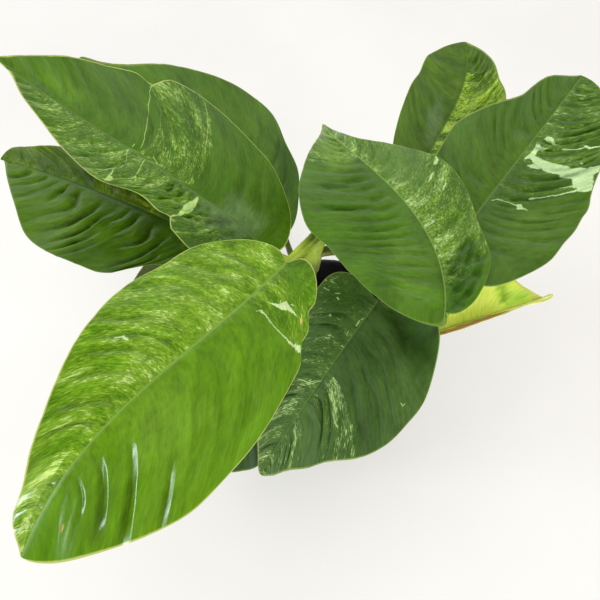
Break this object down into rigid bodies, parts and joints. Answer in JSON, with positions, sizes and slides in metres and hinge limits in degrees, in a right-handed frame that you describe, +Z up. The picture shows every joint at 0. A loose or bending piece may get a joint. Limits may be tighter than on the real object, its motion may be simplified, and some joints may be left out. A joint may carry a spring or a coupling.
{
  "type": "potted foliage plant",
  "caption": "Young climbing aroid with large marbled green leaves on one leaning stem, in a round tapered nursery pot that stands on its flat base.",
  "frame": {"origin": "centre of the pot's flat underside", "axes": "+Z up along the pot's axis; +Y points away from the viewer of the picture, +X to the viewer's right"},
  "size_m": [0.4834, 0.4236, 0.3298],
  "materials": {
    "pot_plastic": "satin black",
    "potting_soil": "rough dark bark and peat mix",
    "stem_skin": "smooth green with paler sheaths",
    "stalk_skin": "smooth yellow-green",
    "leaf_fresh": "semi-gloss, marbled fresh green",
    "leaf_mid": "semi-gloss, marbled mid green",
    "leaf_dark": "semi-gloss dark green",
    "leaf_old": "satin yellow-green with a browned end",
    "leaf_olive": "dull olive, ageing"
  },
  "bodies": {
    "root": {"pot": "pot_plastic", "soil": "potting_soil", "stem": "stem_skin", "leaf_01_front": "leaf_fresh", "leaf_02_upper_left": "leaf_mid", "leaf_03_back_left": "leaf_mid", "leaf_04_left": "leaf_dark", "leaf_05_centre": "leaf_mid", "leaf_06_top": "leaf_mid", "leaf_07_right": "leaf_mid", "leaf_08_lower_front": "leaf_dark", "leaf_09_old_right": "leaf_old", "leaf_10_low_front": "leaf_dark", "leaf_11_old_left": "leaf_olive", "stalk_01_front": "stalk_skin", "stalk_02_upper_left": "stalk_skin", "stalk_03_back_left": "stalk_skin", "stalk_04_left": "stalk_skin", "stalk_05_centre": "stalk_skin", "stalk_06_top": "stalk_skin", "stalk_07_right": "stalk_skin", "stalk_08_lower_front": "stalk_skin", "stalk_09_old_right": "stalk_skin", "stalk_10_low_front": "stalk_skin", "stalk_11_old_left": "stalk_skin"}
  },
  "joints": []
}
